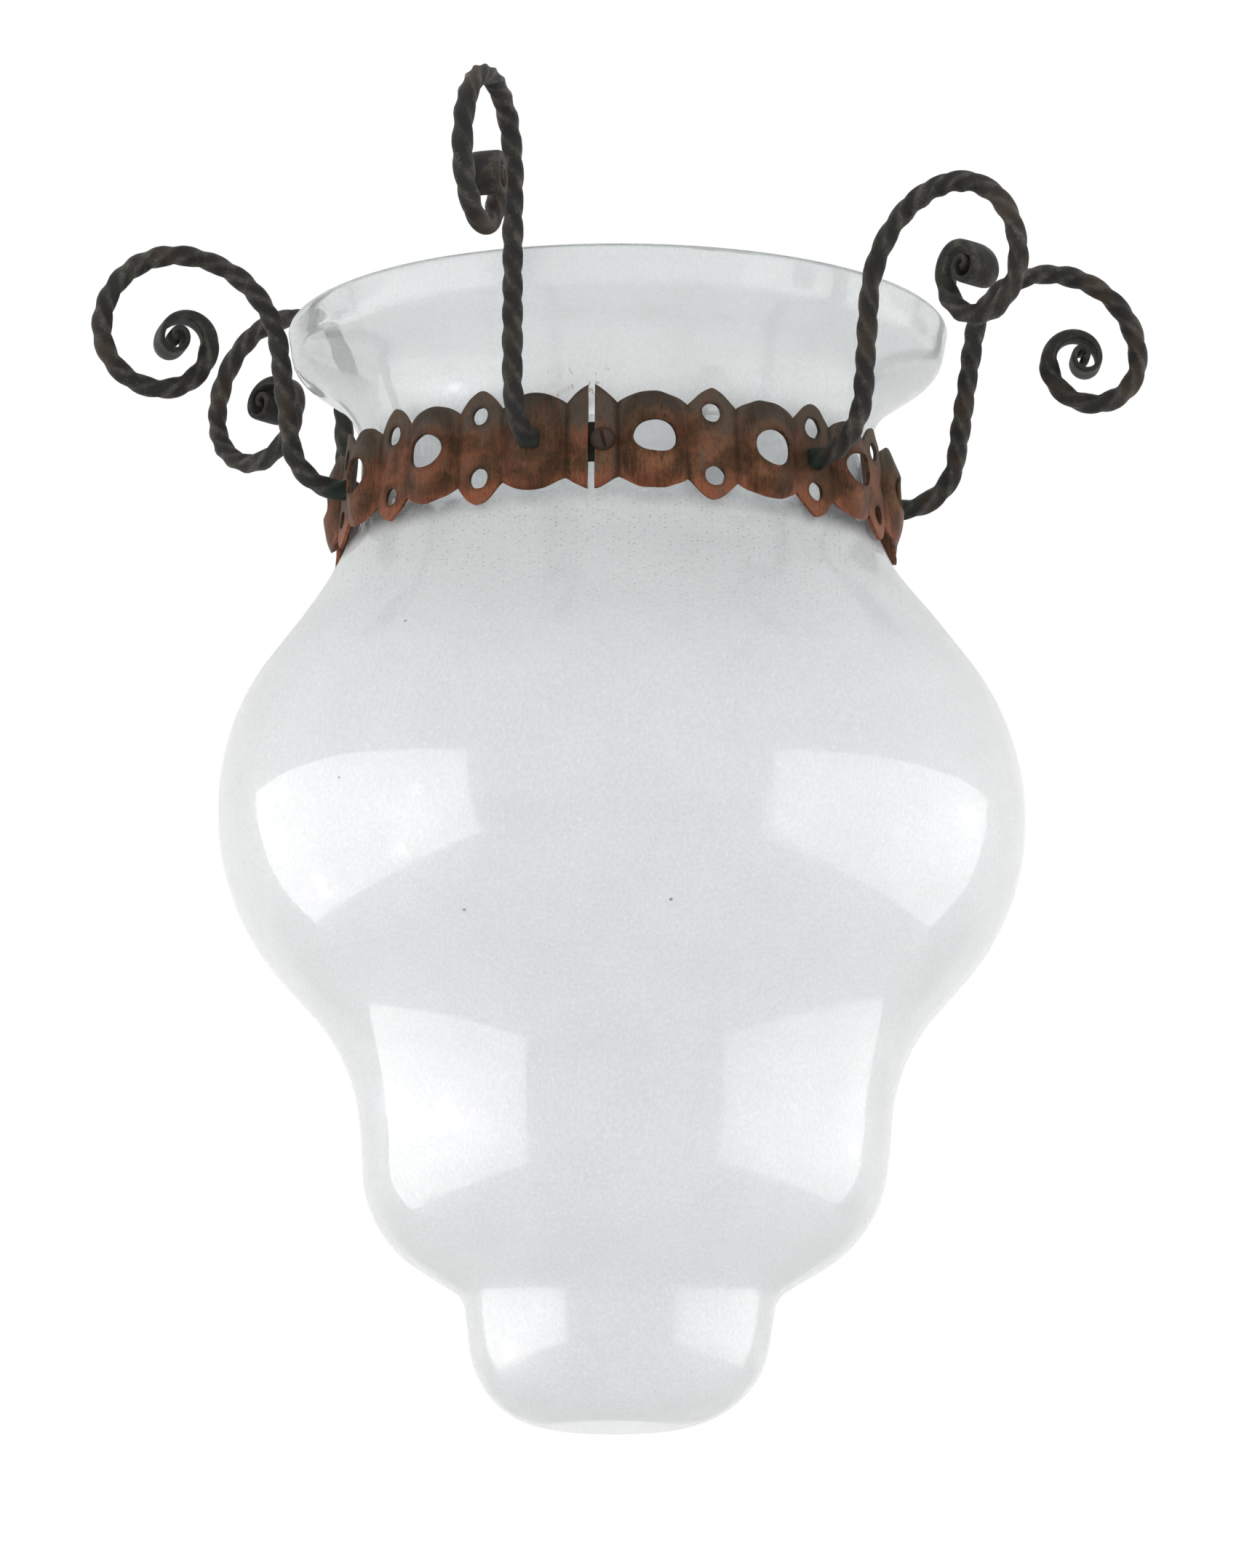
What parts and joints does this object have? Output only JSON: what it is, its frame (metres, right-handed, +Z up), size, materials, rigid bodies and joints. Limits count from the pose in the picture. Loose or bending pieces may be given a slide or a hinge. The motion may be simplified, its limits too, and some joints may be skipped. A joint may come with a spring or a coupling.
{
  "type": "hanging glass lamp",
  "caption": "Hanging lamp of frosted blown glass in stepped bulbs with a flared mouth, in a pierced copper collar with twisted iron scroll arms to hang it by.",
  "frame": {"origin": "on the lamp's axis, at the middle of the flat underside of the glass foot", "axes": "+Z up along the lamp's axis to the open mouth, -Y towards the front, where the collar's front joint is, +X to the right seen from the front"},
  "size_m": [0.439, 0.4222, 0.5217],
  "materials": {
    "frosted_glass": "glossy blown glass with a fine white speckle, lightly clouded",
    "aged_copper": "beaten copper with a brown patina, bright on the raised edges",
    "wrought_iron": "forged iron, dark and softly worn on the edges"
  },
  "bodies": {
    "root": {"glass_shade": "frosted_glass", "collar_half_right": "aged_copper", "collar_half_left": "aged_copper", "joint_strap_front": "wrought_iron", "joint_strap_rear": "wrought_iron", "clamp_screw_front": "wrought_iron", "clamp_screw_rear": "wrought_iron", "scroll_arm_right_front": "wrought_iron", "scroll_arm_right": "wrought_iron", "scroll_arm_rear": "wrought_iron", "scroll_arm_left_rear": "wrought_iron", "scroll_arm_left": "wrought_iron", "scroll_arm_front": "wrought_iron", "arm_washer_right_front": "wrought_iron", "arm_washer_right": "wrought_iron", "arm_washer_left_rear": "wrought_iron", "arm_washer_left": "wrought_iron", "strap_spacer_front": "wrought_iron", "strap_spacer_rear": "wrought_iron"}
  },
  "joints": []
}
